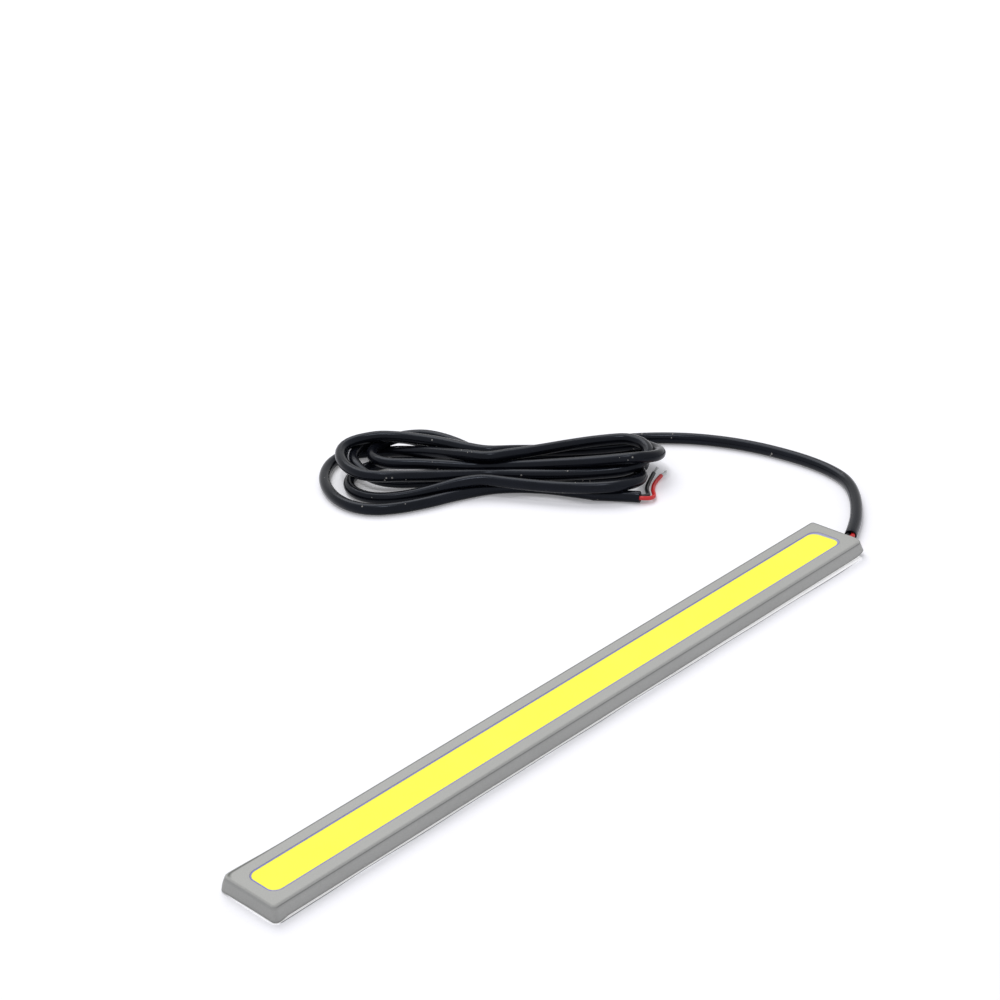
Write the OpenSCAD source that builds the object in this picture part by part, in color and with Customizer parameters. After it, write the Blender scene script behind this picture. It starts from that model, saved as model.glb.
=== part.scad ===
// Slim daytime running light: a stamped aluminium shell over a board of small LED chips,
// potted and taped behind, with a two-core cable folded into a hank beside it.
// Origin: middle of the sticking face. +X runs along the light to its cable, +Z out of its face.

/* [Front shell] */
// Length of the shell
case_l = 170; // [120:1:300]
// Width of the shell at its lower edge
case_w = 15; // [14:0.5:24]
// Height of the top face above the surface under the light
case_h = 3.8; // [3.7:0.1:6]
// Thickness of the aluminium sheet
sheet_t = 0.45; // [0.3:0.05:0.5]
// Outside radius of the fold between top face and skirts
fold_r = 0.55; // [0.5:0.05:0.8]
// Inward lean of the skirts from lower edge to fold
skirt_lean = 0.35; // [0.2:0.05:0.5]
// Plan radius of the corners at the top face
top_corner_r = 0.5; // [0.1:0.05:1]
// How far the pressed corner ears hang below the skirts at the plain end
ear_drop = 0.25; // [0.1:0.05:0.3]
// Reach of each ear from the corner along the skirt
ear_w = 1.5; // [1:0.1:3]
// Length of the clipped lower corners at the cable end
clip_l = 3.5; // [2:0.5:6]
// Height of the clipped lower corners at the end wall
clip_h = 0.8; // [0.4:0.1:1]

/* [Window] */
// Rim between the window and the plain end of the shell
plain_rim = 2.9; // [2.9:0.1:35]
// Rim between the window and the cable end of the shell
cable_rim = 3.5; // [3:0.1:35]
// Rim between the window's sides and the sides of the shell
side_rim = 3.35; // [3:0.05:4.5]
// Corner radius of the window
window_r = 2.2; // [1:0.1:3]
// Width of the dam's lip that shows inside the window
dam_lip = 0.3; // [0.2:0.05:0.5]
// Width of the dam's lip at the window's cable end
exit_lip = 1; // [0.2:0.1:2]
// Depth of the phosphor's surface below the top face
fill_recess = 0.1; // [0.1:0.05:0.4]
// Width of the dam's flange outside the window
dam_flange = 1.5; // [1:0.1:2]
// Thickness of the dam's flange
dam_t = 0.4; // [0.38:0.02:0.6]

/* [Light board] */
// Thickness of the board
board_t = 0.8; // [0.6:0.1:1]
// Clearance between the board and the shell's walls
board_clear = 0.15; // [0.1:0.05:0.3]
// Number of chip groups along each row
group_count = 14; // [6:1:16]
// Chips in each group
chips_per_group = 3; // [2:1:3]
// Length of a chip
chip_l = 1.1; // [0.8:0.1:1.2]
// Width of a chip
chip_w = 0.7; // [0.5:0.1:1]
// Thickness of a chip
chip_t = 0.18; // [0.1:0.02:0.3]
// Distance between the two rows of chips
row_gap = 3; // [2.5:0.1:4]
// Length of the limiting resistor that ends each group
resistor_l = 1; // [0.8:0.1:1.2]
// Width of a limiting resistor
resistor_w = 0.5; // [0.4:0.05:0.8]
// Thickness of a limiting resistor
resistor_t = 0.35; // [0.2:0.05:0.4]

/* [Backing] */
// Thickness of the release liner
liner_t = 0.12; // [0.08:0.02:0.2]
// How far the liner stands proud of the shell at each side and at the plain end
liner_proud = 0.45; // [0:0.05:0.5]
// How far the liner stops short of the shell at the cable end
liner_short = 1.5; // [0:0.1:4]
// Thickness of the foam tape
tape_t = 0.5; // [0.4:0.05:1]
// How deep the foam tape sits inside the skirts
tape_seat = 0.12; // [0.05:0.01:0.2]
// Clearance between the foam tape and the skirts
tape_clear = 0.1; // [0.1:0.05:0.5]

/* [Cable] */
// Outside diameter of the cable
sheath_d = 2.8; // [2.4:0.1:4]
// Outside diameter of each insulated lead
lead_d = 1; // [0.8:0.05:1.1]
// Diameter of the bare strands of a lead
strand_d = 0.6; // [0.4:0.05:0.7]
// Gap between the two leads at the exit
lead_gap = 0.1; // [0.05:0.05:0.4]
// Sideways place of the cable exit from the middle of the light
exit_y = -1.4; // [-4:0.1:4]
// Length of lead that shows between the shell and the cable's sheath
lead_show = 2.7; // [1.5:0.1:5]
// Space between a lead and the edge of the exit notch
notch_clear = 0.2; // [0.1:0.05:0.4]
// How far the exit seal stands out of the end wall
seal_proud = 0.5; // [0.2:0.1:1]
// Radius of each solder joint
joint_r = 1.3; // [1:0.1:1.6]
// Height of each solder joint under the board
joint_h = 1.05; // [0.95:0.05:1.2]
// Distance from the end wall to the solder joints
joint_back = 8; // [7:0.5:14]
// Sideways distance of each solder joint from the exit's middle
joint_side = 1.8; // [1.5:0.1:2.5]

/* [Hank] */
// Height of the hank
hank_h = 8.4; // [6:0.2:12]
// Radius of the wide lobe
wide_lobe_r = 18; // [14:0.5:22]
// Radius of the narrow lobe
narrow_lobe_r = 11.5; // [10:0.5:12]
// Radius of the waist
waist_r = 9.5; // [8:0.5:11]
// Distance from the waist to the middle of the wide lobe
wide_reach = 23; // [18:0.5:30]
// Distance from the waist to the middle of the narrow lobe
narrow_reach = 29; // [26:0.5:29]

/* [Hidden] */

shell_colour = "#9c9d9a";
beyond = 1; // how far a cutting solid runs past what it cuts
post_sides = 32;
fold_steps = 6;
cord_sides = 8;

// Levels above the surface under the light
tape_top = liner_t + tape_t;
skirt_z = tape_top - tape_seat;
ear_z = skirt_z - ear_drop;
sheet_z = case_h - sheet_t;
board_top = sheet_z - dam_t;
board_back = board_top - board_t;
fill_top = case_h - fill_recess;
lead_z = board_back - lead_d / 2;
rest_z = sheath_d / 2;

// Plan sizes that follow from the shell
low_corner_r = top_corner_r + fold_r + skirt_lean;
wall_in = sheet_t + skirt_lean; // from the lower edge's outline to the inside of the wall at its top
board_l = case_l - 2 * (wall_in + board_clear);
board_w = case_w - 2 * (wall_in + board_clear);
window_l = case_l - plain_rim - cable_rim;
window_w = case_w - 2 * side_rim;
window_x = (plain_rim - cable_rim) / 2;
dam_l = window_l + 2 * dam_flange;
dam_w = window_w + 2 * dam_flange;
fill_l = window_l - dam_lip - exit_lip;
fill_w = window_w - 2 * dam_lip;
fill_x = window_x + (dam_lip - exit_lip) / 2;
fill_r = window_r - dam_lip;
tape_l = case_l - 2 * (sheet_t + tape_clear);
tape_w = case_w - 2 * (sheet_t + tape_clear);
tape_r = low_corner_r - sheet_t - tape_clear;

// Places along each row of chips: the group's chips, then its resistor
places = group_count * (chips_per_group + 1);
place_margin = 2.5;
place_pitch = (fill_l - 2 * place_margin) / (places - 1);
function place_x(i) = fill_x - fill_l / 2 + place_margin + i * place_pitch;
function is_resistor(i) = i % (chips_per_group + 1) == chips_per_group;

// Leads: side is -1 for the positive lead and 1 for the negative one
lead_pitch = lead_d + lead_gap;
exit_x = case_l / 2 + lead_show;
joint_x = case_l / 2 - joint_back;
spread_start = 2; // inside the end wall the leads spread from here
spread_end = 5.2; // to here
strip_len = 2; // bare strands on each side of the joint's middle
sheath_step = 0.5; // straight stretch of each lead at the sheath's end, which is turned
function lead_y(side) = exit_y + side * lead_pitch / 2;
function joint_y(side) = exit_y + side * joint_side;
function lamp_route(side) =
    let (t = heading(run_path, 0), across = cross([0, 0, 1], t))
    let (face = [run_path[0][0], run_path[0][1], lead_z] + side * lead_pitch / 2 * across)
    [
        face,
        face - sheath_step * t,
        [case_l / 2 + lead_show / 4, lead_y(side), lead_z],
        [case_l / 2 - spread_start, lead_y(side), lead_z],
        [case_l / 2 - spread_end, joint_y(side), lead_z],
        [joint_x + strip_len, joint_y(side), lead_z],
        [joint_x - strip_len / 3, joint_y(side), lead_z]
    ];
lamp_strip = 5; // the lead's insulation ends at this point of its route

// Route of the cable on the surface, from beside the light's cable exit, chosen by hand
run_route = [
    [0, 0.2], [1.7, 1.1], [3.4, 2], [6.8, 4], [10.2, 6.4], [13.5, 9.1], [16.5, 12], [19, 15],
    [21, 18.4], [22.3, 22.6], [23, 27.5], [23.1, 33], [22.6, 39], [21.6, 45.3], [19.7, 52.3],
    [16.8, 59.4], [13.2, 65.6], [9.2, 70.8], [5, 75], [0.4, 78.5], [-5, 81.5], [-10.8, 84.2],
    [-16.6, 86.6], [-21.7, 88.9]
];
run_path = [for (p = run_route) [exit_x + p[0], exit_y + p[1], rest_z]];

// The hank's waist from the same start, and the turn of its long axis
hank_at = [-29.7, 86.4];
hank_turn = -49;
waist_at = -3;
wide_side = 1.5;
narrow_side = -0.5;

// Route of the cable's free end out of the hank, chosen by hand
tail_route = [[-20.5, 60.5], [-18.9, 57.9], [-17.3, 55.3], [-15.9, 53], [-14.6, 50.7]];
tail_path = [for (p = tail_route) [exit_x + p[0], exit_y + p[1], rest_z]];
tail_end = tail_path[len(tail_path) - 1];

// Routes of the two leads past the sheath's free end, chosen by hand, down to the surface
lead_steps = [0, 0.4, 0.8]; // straight out of the sheath first
far_red = [
    [-14.1, 49.3, 1.3], [-13.3, 48.7, 1.2], [-12.1, 48.8, 1], [-10.8, 49.8, 0.8], [-9.2, 51.6, 0.6],
    [-7.2, 53.2, 0.5], [-4.8, 54.4, 0.5], [-2.2, 55.3, 0.5], [-0.8, 55.6, 0.5], [0.6, 55.9, 0.5]
];
far_black = [
    [-13, 50.1, 1.3], [-12.2, 50.3, 1.2], [-11.4, 51.2, 1], [-10.5, 52.3, 0.8], [-9.3, 53.5, 0.6],
    [-7.3, 54.9, 0.5], [-4.8, 56.3, 0.5], [-2.3, 57.6, 0.5], [-0.8, 58.3, 0.5], [0.7, 59, 0.5]
];
far_strip = 10; // the insulation ends at this point of the whole route

// Sweeping a round section along points: a ring of corners at each point, square to the path
function unit(v) = v / norm(v);
function heading(path, i) = unit(path[min(i + 1, len(path) - 1)] - path[max(i - 1, 0)]);
function ring(path, i, r, sides) =
    let (t = heading(path, i), s = unit(cross(t, [0, 0, 1])), u = cross(s, t))
    [for (k = [0:sides - 1])
        let (a = 360 * (k + 0.5) / sides)
        path[i] + r * (cos(a) * s + sin(a) * u)];

function far_route(route, side) =
    let (t = heading(tail_path, len(tail_path) - 1), across = cross([0, 0, 1], t))
    concat(
        [for (step = lead_steps) tail_end + side * lead_pitch / 2 * across + step * t],
        [for (p = route) [exit_x + p[0], exit_y + p[1], p[2]]]
    );

module swept_wire(path, d, first, last, sides = cord_sides) {
    count = last - first + 1;
    corners = [for (i = [first:last]) each ring(path, i, d / 2, sides)];
    sides_faces = [for (i = [0:count - 2], k = [0:sides - 1])
        let (a = i * sides + k, b = i * sides + (k + 1) % sides)
        each [[a, b, b + sides], [a, b + sides, a + sides]]];
    start_cap = [for (k = [sides - 1:-1:0]) k];
    end_cap = [for (k = [0:sides - 1]) (count - 1) * sides + k];
    polyhedron(points = corners, faces = concat(sides_faces, [start_cap, end_cap]));
}

// Rectangle with round corners, middle at the origin
module rounded_rect(l, w, r) {
    square([l - 2 * r, w], center = true);
    square([l, w - 2 * r], center = true);
    for (x = [-1, 1], y = [-1, 1])
        translate([x * (l / 2 - r), y * (w / 2 - r)])
            circle(r = r, $fn = post_sides);
}

module rounded_plate(l, w, r, low, high, x = 0) {
    translate([x, 0, low])
        linear_extrude(high - low)
            rounded_rect(l, w, r);
}

// One corner of the folded pan, turned about its own axis: leaning skirt, fold, top face
module pan_post(inset, low) {
    bend = max(0.03, fold_r - inset);
    top = case_h - inset;
    lean_rate = skirt_lean / (case_h - fold_r - skirt_z);
    upright_r = top_corner_r + fold_r - inset;
    low_r = upright_r + lean_rate * (case_h - fold_r - low);
    arc = [for (i = [0:fold_steps])
        let (a = 90 * i / fold_steps)
        [upright_r - bend + bend * cos(a), top - bend + bend * sin(a)]];
    rotate_extrude($fn = post_sides)
        polygon(concat([[0, low], [low_r, low]], arc, [[0, top]]));
}

// The pan as a solid block: its outside for inset 0, its inside for the sheet's thickness
module pan_block(inset, low) {
    hull()
        for (x = [-1, 1], y = [-1, 1])
            translate([x * (case_l / 2 - low_corner_r), y * (case_w / 2 - low_corner_r)])
                pan_post(inset, low);
}

// Opening for the two leads, as a slot with round ends across the light
module exit_slot(reach_in, reach_out, grow) {
    r = lead_d / 2 + notch_clear + grow;
    for (side = [-1, 1])
        translate([case_l / 2 - reach_in, lead_y(side), lead_z])
            rotate([0, 90, 0])
                cylinder(r = r, h = reach_in + reach_out, $fn = post_sides);
    translate([case_l / 2 - reach_in, lead_y(-1), lead_z - r])
        cube([reach_in + reach_out, lead_pitch, 2 * r]);
}

// Everything under the skirts' lower edge, apart from the ears at the plain end
module skirt_trim() {
    difference() {
        translate([-case_l, -case_w, ear_z - beyond])
            cube([2 * case_l, 2 * case_w, skirt_z - ear_z + beyond]);
        for (y = [-1, 1])
            translate([-case_l / 2, y * case_w / 2, ear_z - 2 * beyond])
                cylinder(r = ear_w, h = skirt_z - ear_z + 4 * beyond, $fn = post_sides);
    }
}

// Slanted cut that clips the lower corners at the cable end
module corner_clip() {
    run = clip_l + beyond;
    translate([case_l / 2 - clip_l, case_w, skirt_z])
        rotate([90, 0, 0])
            linear_extrude(2 * case_w)
                polygon([[0, 0], [run, clip_h * run / clip_l], [run, -beyond], [0, -beyond]]);
}

module front_shell() {
    color(shell_colour)
        difference() {
            pan_block(0, ear_z);
            pan_block(sheet_t, ear_z - beyond);
            rounded_plate(window_l, window_w, window_r, sheet_z - beyond, case_h + beyond, window_x);
            skirt_trim();
            corner_clip();
            exit_slot(spread_start, beyond, 0);
        }
}

module led_board() {
    color("#d8d9d4")
        rounded_plate(board_l, board_w, top_corner_r + 0.3, board_back, board_top);
}

module chip_dam() {
    color("#a9a6dc")
        difference() {
            union() {
                rounded_plate(dam_l, dam_w, window_r + dam_flange, board_top, sheet_z, window_x);
                rounded_plate(window_l, window_w, window_r, board_top, fill_top, window_x);
            }
            rounded_plate(fill_l, fill_w, fill_r, board_top - beyond, fill_top + beyond, fill_x);
        }
}

// One row of blocks on the board, for the places that are chips or those that are resistors
module place_row(y, size, resistors) {
    for (i = [0:places - 1])
        if (is_resistor(i) == resistors)
            translate([place_x(i) - size[0] / 2, y - size[1] / 2, board_top])
                cube(size);
}

module led_chips() {
    color("#e9e2a0")
        for (y = [-row_gap / 2, row_gap / 2])
            place_row(y, [chip_l, chip_w, chip_t], false);
}

module group_resistors() {
    color("#2b2b2b")
        for (y = [-row_gap / 2, row_gap / 2])
            place_row(y, [resistor_l, resistor_w, resistor_t], true);
}

module phosphor_fill() {
    color("#fdfd52")
        difference() {
            rounded_plate(fill_l, fill_w, fill_r, board_top, fill_top, fill_x);
            led_chips();
            group_resistors();
        }
}

module rear_potting() {
    color("#1d1d1f")
        difference() {
            intersection() {
                pan_block(sheet_t, ear_z - beyond);
                translate([-case_l / 2, -case_w / 2, tape_top])
                    cube([case_l, case_w, board_back - tape_top]);
            }
            for (side = [-1, 1]) {
                joint_dome(side);
                swept_wire(lamp_route(side), lead_d, 0, lamp_strip);
                swept_wire(lamp_route(side), strand_d, lamp_strip, lamp_strip + 1);
            }
        }
}

module exit_seal() {
    color("#26262a")
        difference() {
            exit_slot(spread_start, seal_proud, 0);
            pan_block(sheet_t, ear_z - beyond);
            for (side = [-1, 1])
                swept_wire(lamp_route(side), lead_d, 0, lamp_strip);
        }
}

module foam_tape() {
    color("#f4f4f2")
        rounded_plate(tape_l, tape_w, tape_r, liner_t, tape_top);
}

module release_liner() {
    color("#fbfbfb")
        translate([-case_l / 2 - liner_proud, -case_w / 2 - liner_proud, 0])
            cube([case_l - liner_short + liner_proud, case_w + 2 * liner_proud, liner_t]);
}

// A drop of solder that hangs from the board, as a half ellipse turned about its axis
module joint_dome(side) {
    half = [for (i = [0:8]) [joint_r * cos(90 * i / 8), -joint_h * sin(90 * i / 8)]];
    translate([joint_x, joint_y(side), board_back])
        rotate_extrude($fn = post_sides)
            polygon(concat([[0, 0]], half));
}

module solder_joint(side) {
    color("#b9bcc0")
        difference() {
            joint_dome(side);
            swept_wire(lamp_route(side), lead_d, 0, lamp_strip);
            swept_wire(lamp_route(side), strand_d, lamp_strip, lamp_strip + 1);
        }
}

module solder_joint_positive() { solder_joint(-1); }

module solder_joint_negative() { solder_joint(1); }

module lead_positive_lamp_end() {
    color("#d8202a")
        swept_wire(lamp_route(-1), lead_d, 0, lamp_strip);
}

module lead_negative_lamp_end() {
    color("#1a1a1c")
        swept_wire(lamp_route(1), lead_d, 0, lamp_strip);
}

module strands_positive_lamp_end() {
    color("#c07a4a")
        swept_wire(lamp_route(-1), strand_d, lamp_strip, lamp_strip + 1);
}

module strands_negative_lamp_end() {
    color("#c07a4a")
        swept_wire(lamp_route(1), strand_d, lamp_strip, lamp_strip + 1);
}

module cable_run() {
    color("#17171a")
        swept_wire(run_path, sheath_d, 0, len(run_path) - 1);
}

// Outline of the hank from above: a wide lobe, a waist and a narrow lobe
module hank_outline() {
    for (lobe = [[-wide_reach, wide_side, wide_lobe_r], [narrow_reach, narrow_side, narrow_lobe_r]])
        hull() {
            translate([waist_at, 0])
                circle(r = waist_r, $fn = 48);
            translate([waist_at + lobe[0], lobe[1]])
                circle(r = lobe[2], $fn = 48);
        }
}

module cable_hank() {
    color("#1b1b1e")
        translate([exit_x + hank_at[0], exit_y + hank_at[1], 0])
            rotate([0, 0, hank_turn])
                linear_extrude(hank_h)
                    hank_outline();
}

module cable_tail() {
    color("#17171a")
        swept_wire(tail_path, sheath_d, 0, len(tail_path) - 1);
}

// A lead at the cable's free end: its insulation, then its tinned strands
module far_lead(route, side, tip) {
    path = far_route(route, side);
    if (tip)
        swept_wire(path, strand_d, far_strip, len(path) - 1);
    else
        swept_wire(path, lead_d, 0, far_strip);
}

module lead_positive_far_end() { color("#d8202a") far_lead(far_red, -1, false); }

module lead_negative_far_end() { color("#1a1a1c") far_lead(far_black, 1, false); }

module tinned_tip_positive() { color("#c9cccf") far_lead(far_red, -1, true); }

module tinned_tip_negative() { color("#c9cccf") far_lead(far_black, 1, true); }

front_shell();
led_board();
chip_dam();
led_chips();
group_resistors();
phosphor_fill();
rear_potting();
exit_seal();
foam_tape();
release_liner();
solder_joint_positive();
solder_joint_negative();
lead_positive_lamp_end();
lead_negative_lamp_end();
strands_positive_lamp_end();
strands_negative_lamp_end();
cable_run();
cable_hank();
cable_tail();
lead_positive_far_end();
lead_negative_far_end();
tinned_tip_positive();
tinned_tip_negative();
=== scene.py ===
import math
import bmesh
import bpy
import numpy as np
from mathutils import Matrix, Vector


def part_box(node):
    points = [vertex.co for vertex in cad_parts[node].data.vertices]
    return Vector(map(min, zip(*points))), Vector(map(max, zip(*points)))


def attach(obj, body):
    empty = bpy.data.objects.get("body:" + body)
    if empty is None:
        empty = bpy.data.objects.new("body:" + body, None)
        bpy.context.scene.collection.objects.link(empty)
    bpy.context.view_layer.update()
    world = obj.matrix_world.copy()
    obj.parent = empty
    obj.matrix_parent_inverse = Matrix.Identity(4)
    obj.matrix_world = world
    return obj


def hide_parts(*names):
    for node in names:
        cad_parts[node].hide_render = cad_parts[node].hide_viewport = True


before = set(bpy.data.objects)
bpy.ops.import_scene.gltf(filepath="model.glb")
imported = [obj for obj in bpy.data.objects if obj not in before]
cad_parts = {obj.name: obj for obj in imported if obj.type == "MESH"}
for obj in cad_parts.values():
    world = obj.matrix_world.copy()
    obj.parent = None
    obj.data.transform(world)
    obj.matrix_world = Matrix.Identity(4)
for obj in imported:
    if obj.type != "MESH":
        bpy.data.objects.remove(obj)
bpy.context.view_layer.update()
print("frame loaded:", len(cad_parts), "nodes")

mm = 0.001  # every dictionary below is in millimetres unless a note says otherwise

# Camera, fitted to the light's own edges in the photograph

cameraView = {
    "place": (-0.26744, -0.2792, 0.249558),  # metres
    "forward": (0.59404, 0.6588, -0.46163),
    "up": (0.37427, 0.28163, 0.88352),
    "lens": 81.61,
    "sensor": 36.0,
    "near": 0.01,  # metres
    "far": 20.0,  # metres
}


def addCamera(view):
    forward = Vector(view["forward"]).normalized()
    side = forward.cross(Vector(view["up"])).normalized()
    up = side.cross(forward)
    turn = Matrix((side, up, -forward)).transposed()
    data = bpy.data.cameras.new("photoCamera")
    data.lens = view["lens"]
    data.sensor_width = view["sensor"]
    data.clip_start = view["near"]
    data.clip_end = view["far"]
    camera = bpy.data.objects.new("photoCamera", data)
    camera.matrix_world = Matrix.Translation(view["place"]) @ turn.to_4x4()
    bpy.context.scene.collection.objects.link(camera)
    bpy.context.scene.camera = camera


addCamera(cameraView)
print("camera placed")

# Surfaces from arrays

weldWithin = 0.0005  # points closer than this become one
curveSteps = 24  # places of a curve between two of the points given for it
nearlyShut = 0.001  # radius or size at which a ring counts as closed
offSurface = 0.01  # cable, leads and strands stay this far above the surface


def gridFaces(rows, columns, roundRows=False, roundColumns=False):
    # one quad for each cell of a grid of points, joined end to start where a direction is round
    r = np.arange(rows if roundRows else rows - 1)
    c = np.arange(columns if roundColumns else columns - 1)
    r, c = np.meshgrid(r, c, indexing="ij")
    nextR, nextC = (r + 1) % rows, (c + 1) % columns
    quads = [r * columns + c, r * columns + nextC, nextR * columns + nextC, nextR * columns + c]
    return np.stack(quads, -1).reshape(-1, 4)


def addPiece(name, points, faces, material, flat=False, marks=None):
    # points in metres; marks is an optional value for each point that the material reads
    mesh = bpy.data.meshes.new(name)
    mesh.from_pydata(np.asarray(points).tolist(), [], np.asarray(faces).tolist())
    if marks is not None:
        layer = mesh.attributes.new("foldMark", "FLOAT", "POINT")
        layer.data.foreach_set("value", np.asarray(marks, np.float32))
    work = bmesh.new()
    work.from_mesh(mesh)
    bmesh.ops.remove_doubles(work, verts=work.verts, dist=weldWithin * mm)
    bmesh.ops.recalc_face_normals(work, faces=work.faces)
    work.to_mesh(mesh)
    work.free()
    mesh.polygons.foreach_set("use_smooth", np.full(len(mesh.polygons), not flat))
    mesh.materials.append(material)
    piece = bpy.data.objects.new(name, mesh)
    bpy.context.scene.collection.objects.link(piece)
    return piece


def ringPiece(name, rings, finish, roundRows=True, marks=None):
    # a piece from rings of points in millimetres, all with the same number of points
    rings = np.array(rings)
    faces = gridFaces(*rings.shape[:2], roundRows=roundRows, roundColumns=True)
    return addPiece(name, rings.reshape(-1, 3) * mm, faces, materials[finish], marks=marks)


def atLevel(flat, level):
    # points of an outline at one height, or at one each
    return np.column_stack([flat, np.broadcast_to(level, len(flat))])


def standFor(piece, slotName, *nodes):
    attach(piece, "root")
    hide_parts(*nodes)
    return piece


def blendSmooth(t):
    # slow start and slow end between 0 and 1
    t = np.clip(t, 0, 1)
    return t * t * (3 - 2 * t)


def evenly(points, spacing):
    # Catmull-Rom curve through the points, then a point at every step of its length
    points = np.asarray(points, float)
    p = np.vstack([2 * points[0] - points[1], points, 2 * points[-1] - points[-2]])
    t = np.linspace(0, 1, curveSteps, endpoint=False)[None, :, None]
    a, b, c, d = p[:-3, None], p[1:-2, None], p[2:-1, None], p[3:, None]
    curve = 0.5 * (2 * b + (c - a) * t + (2 * a - 5 * b + 4 * c - d) * t ** 2
                   + (3 * b - a - 3 * c + d) * t ** 3)
    line = np.vstack([curve.reshape(-1, 3), points[-1:]])
    run = np.r_[0, np.cumsum(np.linalg.norm(np.diff(line, axis=0), axis=1))]
    steps = np.linspace(0, run[-1], int(round(run[-1] / spacing)) + 1)
    return np.column_stack([np.interp(steps, run, line[:, k]) for k in range(3)])


def frames(path):
    # heading, sideways and upward directions at each point of a path that never stands upright
    heading = np.gradient(path, axis=0)
    heading /= np.linalg.norm(heading, axis=1)[:, None]
    side = np.cross(heading, [0, 0, 1])
    side /= np.linalg.norm(side, axis=1)[:, None]
    return heading, side, np.cross(side, heading)


def sweptTube(path, radius, sides, mouth, depth, lip):
    # A circle carried along the path. At each end it rounds over a small lip, narrows to the mouth's
    # radius, goes back in by the depth and closes, so that the end is a hollow tube end.
    heading, side, up = frames(path)
    count = len(path)
    turn = np.linspace(0, math.pi / 2, 5)[1:]
    rings = [(i, 0.0, radius) for i in range(count)]

    def ending(index, way):
        over = [(index, way * lip * (math.sin(a) - 1), radius - lip * (1 - math.cos(a))) for a in turn]
        inner = [(0.0, mouth), (-way * depth, mouth * 0.98), (-way * depth, nearlyShut)]
        return over + [(index, *step) for step in inner]

    first = ending(0, -1)[::-1]
    last = ending(count - 1, 1)
    rings[0] = (0, lip, radius)
    rings[-1] = (count - 1, -lip, radius)
    rings = np.array(first + rings + last)
    index = rings[:, 0].astype(int)
    centre = path[index] + heading[index] * rings[:, 1:2]
    angle = np.linspace(0, 2 * math.pi, sides, endpoint=False)
    spoke = side[index][:, None] * np.cos(angle)[None, :, None]
    spoke += up[index][:, None] * np.sin(angle)[None, :, None]
    points = centre[:, None] + spoke * rings[:, 2][:, None, None]
    return points.reshape(-1, 3), gridFaces(len(rings), sides, roundColumns=True)


def tubeOf(path, radius, shape):
    return sweptTube(path, radius, shape["sides"], shape["mouth"], shape["mouthDepth"], shape["lip"])


# Material parts


def feed(tree, socket, value):
    # gives a socket another node's output, or a plain value
    if isinstance(value, bpy.types.NodeSocket):
        tree.links.new(value, socket)
    else:
        socket.default_value = value


def addNode(tree, kind, links=None, **settings):
    # a node with its settings, and its inputs, by name or number, as values or other nodes' outputs
    node = tree.nodes.new(kind)
    for name, value in settings.items():
        setattr(node, name, value)
    for name, value in (links or {}).items():
        feed(tree, node.inputs[name], value)
    return node


def mix(tree, kind, factor, first, second):
    # a Mix node shows only the sockets of its kind, FLOAT or RGBA
    node = addNode(tree, "ShaderNodeMix", data_type=kind)
    shown = [socket for socket in node.inputs if socket.enabled]
    for socket, value in zip(shown, (factor, first, second)):
        feed(tree, socket, value)
    return [socket for socket in node.outputs if socket.enabled][0]


def calculate(tree, operation, first, second):
    node = addNode(tree, "ShaderNodeMath", operation=operation)
    for socket, value in zip(node.inputs, (first, second)):
        feed(tree, socket, value)
    return node.outputs[0]


def newGroup(name, numbers, results):
    # a group that reads a position and some numbers, and gives numbers
    tree = bpy.data.node_groups.new(name, "ShaderNodeTree")
    tree.interface.new_socket("Position", in_out="INPUT", socket_type="NodeSocketVector")
    for label, value in numbers.items():
        socket = tree.interface.new_socket(label, in_out="INPUT", socket_type="NodeSocketFloat")
        socket.default_value = value
    for label in results:
        tree.interface.new_socket(label, in_out="OUTPUT", socket_type="NodeSocketFloat")
    return tree, tree.nodes.new("NodeGroupInput").outputs, tree.nodes.new("NodeGroupOutput")


def makeGrainGroup():
    # fine even grain over a broad slow drift, as on a rolled or moulded surface
    tree, given, result = newGroup(
        "surfaceGrain", {"Fine": 4000.0, "Broad": 60.0, "Broad Share": 0.5}, ("Grain", "Height"))
    fine = addNode(tree, "ShaderNodeTexNoise", {
        "Vector": given["Position"], "Scale": given["Fine"], "Detail": 3.0, "Roughness": 0.6})
    broad = addNode(tree, "ShaderNodeTexNoise", {
        "Vector": given["Position"], "Scale": given["Broad"], "Detail": 2.0})
    grain = mix(tree, "FLOAT", given["Broad Share"], fine.outputs["Fac"], broad.outputs["Fac"])
    tree.links.new(grain, result.inputs["Grain"])
    tree.links.new(fine.outputs["Fac"], result.inputs["Height"])
    return tree


def makeDustGroup():
    # sparse small specks: the cores of a cell pattern, kept where a slow noise lets them through
    numbers = {"Scale": 500.0, "Size": 0.16, "Left Out": 0.45, "Patch Scale": 90.0, "Patch Cut": 0.6}
    tree, given, result = newGroup("dustSpecks", numbers, ("Specks",))
    cells = addNode(tree, "ShaderNodeTexVoronoi", {
        "Vector": given["Position"], "Scale": given["Scale"]})
    core = calculate(tree, "LESS_THAN", cells.outputs["Distance"], given["Size"])
    patch = addNode(tree, "ShaderNodeTexNoise", {
        "Vector": given["Position"], "Scale": given["Patch Scale"], "Detail": 3.0})
    letThrough = calculate(tree, "GREATER_THAN", patch.outputs["Fac"], given["Patch Cut"])
    split = addNode(tree, "ShaderNodeSeparateColor", {"Color": cells.outputs["Color"]})
    some = calculate(tree, "GREATER_THAN", split.outputs[0], given["Left Out"])
    both = calculate(tree, "MULTIPLY", core, letThrough)
    tree.links.new(calculate(tree, "MULTIPLY", both, some), result.inputs["Specks"])
    return tree


grainGroup = makeGrainGroup()
dustGroup = makeDustGroup()


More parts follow.
